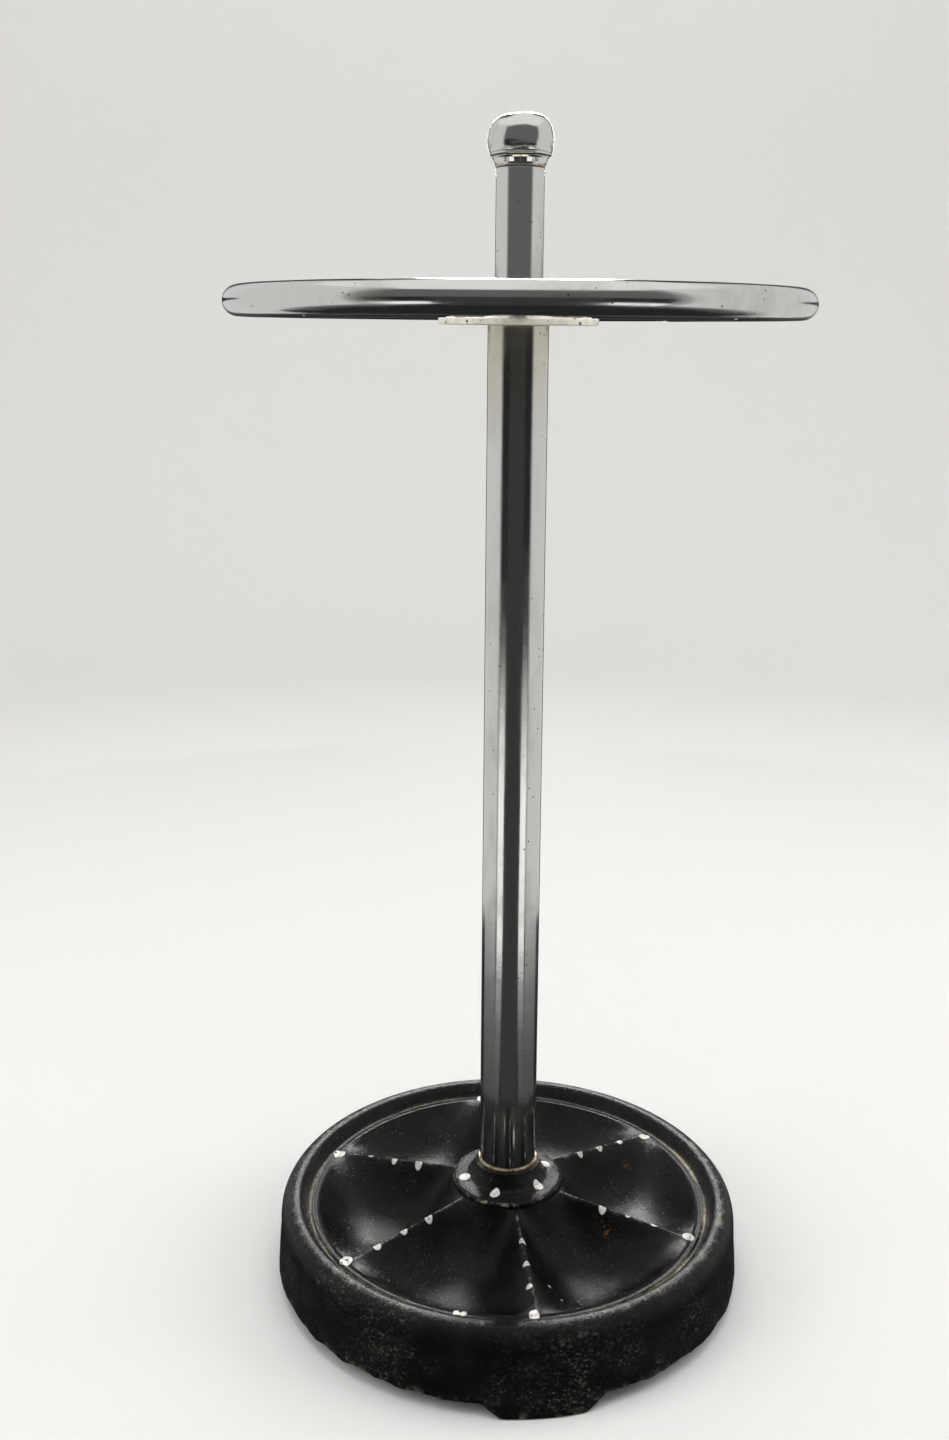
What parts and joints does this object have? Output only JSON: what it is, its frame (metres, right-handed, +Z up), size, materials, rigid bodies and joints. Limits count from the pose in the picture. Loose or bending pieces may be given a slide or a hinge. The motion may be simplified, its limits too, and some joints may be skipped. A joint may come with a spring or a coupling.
{
  "type": "umbrella stand",
  "caption": "Free-standing umbrella stand: heavy round cast base with scooped drip cups, chromed tube pole, leaning ring near the top and a screw-on ball finial.",
  "frame": {"origin": "on the floor, on the pole's axis, which is the centre of the base and of the ring", "axes": "+Z up along the pole; -Y through one of the base's ribs and feet, the side seen from the front"},
  "size_m": [0.3048, 0.3048, 0.6433],
  "materials": {
    "black_enamel": "gloss black enamel over cast iron, worn and chipped",
    "aged_chrome": "old bright chrome plate on steel, lightly pitted",
    "tarnished_brass": "dull tarnished brass",
    "dull_plate": "dull grey plated steel with specks",
    "plain_steel": "plain oily steel"
  },
  "bodies": {
    "stand": {"base_casting": "black_enamel", "lower_tube": "aged_chrome", "upper_tube": "aged_chrome", "ring_tube": "aged_chrome", "finial_collar": "aged_chrome", "tube_seat": "tarnished_brass", "ring_hub_disc": "dull_plate", "ring_hub_collar": "dull_plate", "ring_welds": "dull_plate", "ring_spoke_1": "dull_plate", "ring_spoke_2": "dull_plate", "ring_spoke_3": "dull_plate", "lower_spigot": "plain_steel", "tie_rod": "plain_steel", "base_washer": "plain_steel", "base_spring_washer": "plain_steel", "base_nut": "plain_steel", "ring_splice_pin": "plain_steel", "top_clamp_nut": "plain_steel"},
    "finial_thread": {"finial_insert": "tarnished_brass"},
    "finial": {"finial_ball": "aged_chrome"}
  },
  "joints": [
    {"name": "finial_rise", "type": "slide", "parent": "stand", "child": "finial_thread", "axis": [0, 0, 1], "range_m": [0, 0.0105]},
    {"name": "finial_turn", "type": "hinge", "parent": "finial_thread", "child": "finial", "pos_m": [0, 0, 0.628], "axis": [0, 0, 1], "range_deg": [0, 2520]}
  ],
  "couplings": [
    {"joint": "finial_rise", "follows": "finial_turn", "m_per_rad": 0.00023873}
  ]
}
